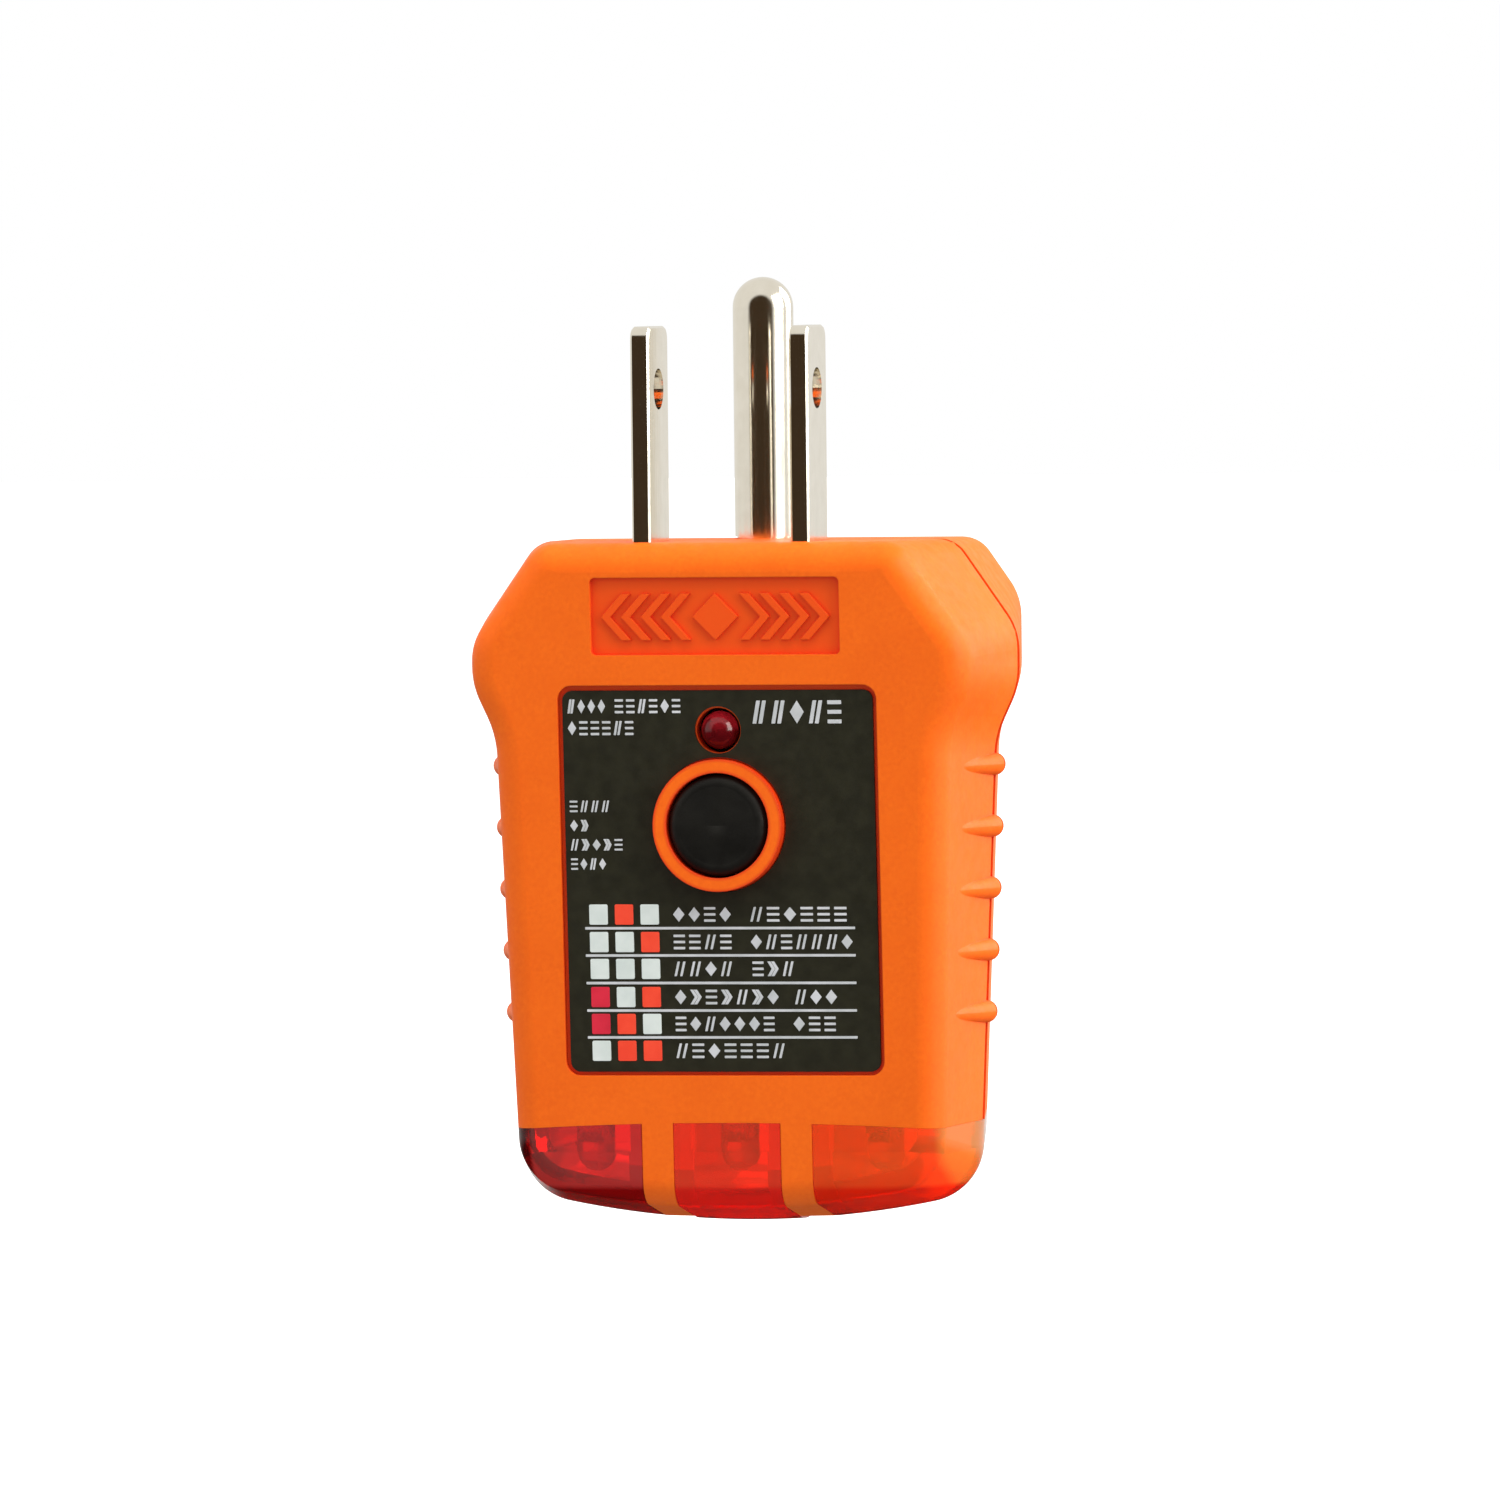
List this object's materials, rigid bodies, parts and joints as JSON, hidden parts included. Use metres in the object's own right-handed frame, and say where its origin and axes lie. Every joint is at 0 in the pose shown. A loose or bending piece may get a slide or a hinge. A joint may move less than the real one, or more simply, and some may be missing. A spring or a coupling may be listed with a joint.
{
  "type": "outlet tester plug",
  "caption": "Plug-in outlet tester: orange two-part case with flat blades and earth pin, push button, indicator and coloured end lenses.",
  "frame": {"origin": "on the plug face, midway between the two flat blades", "axes": "+Z out of the plug face along the prongs, -Y the labelled front, +X to the user's right when facing the label"},
  "size_m": [0.0436, 0.0217, 0.0737],
  "materials": {
    "orange_shell": "fine satin moulded ABS",
    "red_lens": "clear tinted polycarbonate",
    "amber_lens": "clear tinted polycarbonate",
    "label_film": "printed polyester film, satin",
    "button_plastic": "fine matte",
    "spring_steel": "bright drawn wire",
    "switch_plastic": "moulded nylon",
    "plated_steel": "tin plated",
    "plunger_plastic": "moulded acetal",
    "tinned_wire": "tinned copper",
    "board_laminate": "solder-masked laminate",
    "red_epoxy": "cast epoxy",
    "clear_epoxy": "cast clear epoxy",
    "resistor_lacquer": "beige lacquer with colour bands",
    "diode_epoxy": "moulded epoxy with a silver band",
    "cement_lacquer": "flameproof lacquer",
    "nickel_prong": "bright nickel plate on brass",
    "carrier_plastic": "moulded nylon",
    "strap_brass": "rolled strip",
    "zinc_screw": "zinc plated"
  },
  "bodies": {
    "casing": {"front_shell": "orange_shell", "rear_shell": "orange_shell", "left_lens": "red_lens", "middle_lens": "amber_lens", "right_lens": "amber_lens", "face_label": "label_film", "switch_housing": "switch_plastic", "switch_cover": "plated_steel", "switch_terminals": "tinned_wire", "circuit_board": "board_laminate", "indicator_lamp": "red_epoxy", "indicator_leads": "tinned_wire", "left_lamp": "clear_epoxy", "middle_lamp": "clear_epoxy", "right_lamp": "clear_epoxy", "lamp_leads": "tinned_wire", "lamp_resistors": "resistor_lacquer", "diodes": "diode_epoxy", "test_resistor": "cement_lacquer", "neutral_blade": "nickel_prong", "hot_blade": "nickel_prong", "ground_pin": "nickel_prong", "prong_carrier": "carrier_plastic", "ground_strap": "strap_brass", "case_screws": "zinc_screw", "button_spring": "spring_steel"},
    "button": {"button_cap": "button_plastic"},
    "plunger": {"switch_plunger": "plunger_plastic"}
  },
  "joints": [
    {"name": "button_press", "type": "slide", "parent": "casing", "child": "button", "axis": [0, 1, 0], "range_m": [0, 0.0012], "stiffness_N_per_m": 600, "springref_m": -0.0008, "deforming": ["button_spring"]},
    {"name": "plunger_press", "type": "slide", "parent": "casing", "child": "plunger", "axis": [0, 1, 0], "range_m": [0, 0.0012], "stiffness_N_per_m": 200, "springref_m": -0.0008}
  ],
  "couplings": [
    {"joint": "plunger_press", "follows": "button_press", "ratio": 1}
  ]
}
